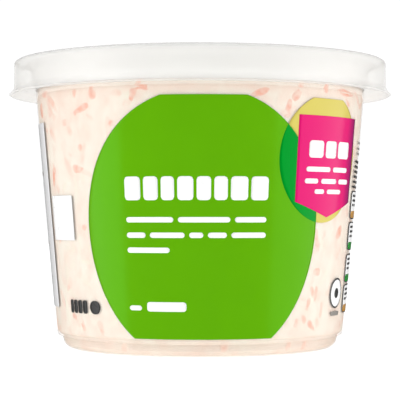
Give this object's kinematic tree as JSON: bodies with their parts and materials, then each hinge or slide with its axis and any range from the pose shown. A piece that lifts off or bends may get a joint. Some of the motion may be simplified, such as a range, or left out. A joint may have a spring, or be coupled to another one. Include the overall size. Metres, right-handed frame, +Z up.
{
  "type": "tub of coleslaw",
  "caption": "Shut round plastic tub with a push-on lid, filled to the lid with shredded salad in a creamy dressing.",
  "frame": {"origin": "centre of the plane that the tub's foot ring stands on", "axes": "+Z up along the tub's axis, -Y towards the middle of the printed front"},
  "size_m": [0.1004, 0.1004, 0.0748],
  "materials": {
    "tub": "thin clear-milky polypropylene, smooth gloss outside",
    "lid": "milky translucent polypropylene, smooth",
    "dressing": "cream-white dressing, wet and soft",
    "carrot": "shredded carrot under a film of dressing",
    "cabbage": "shredded white cabbage and onion under a film of dressing",
    "green_print": "gloss printing ink on the tub wall",
    "dark_green_print": "gloss printing ink where two fields overlap",
    "yellow_print": "gloss printing ink on the tub wall",
    "pink_print": "gloss printing ink on the tub wall",
    "white_print": "opaque white printing ink on the tub wall",
    "dark_print": "dark grey printing ink on the tub wall"
  },
  "bodies": {
    "root": {"tub": "tub", "lid": "lid", "coleslaw": "dressing"}
  },
  "joints": []
}
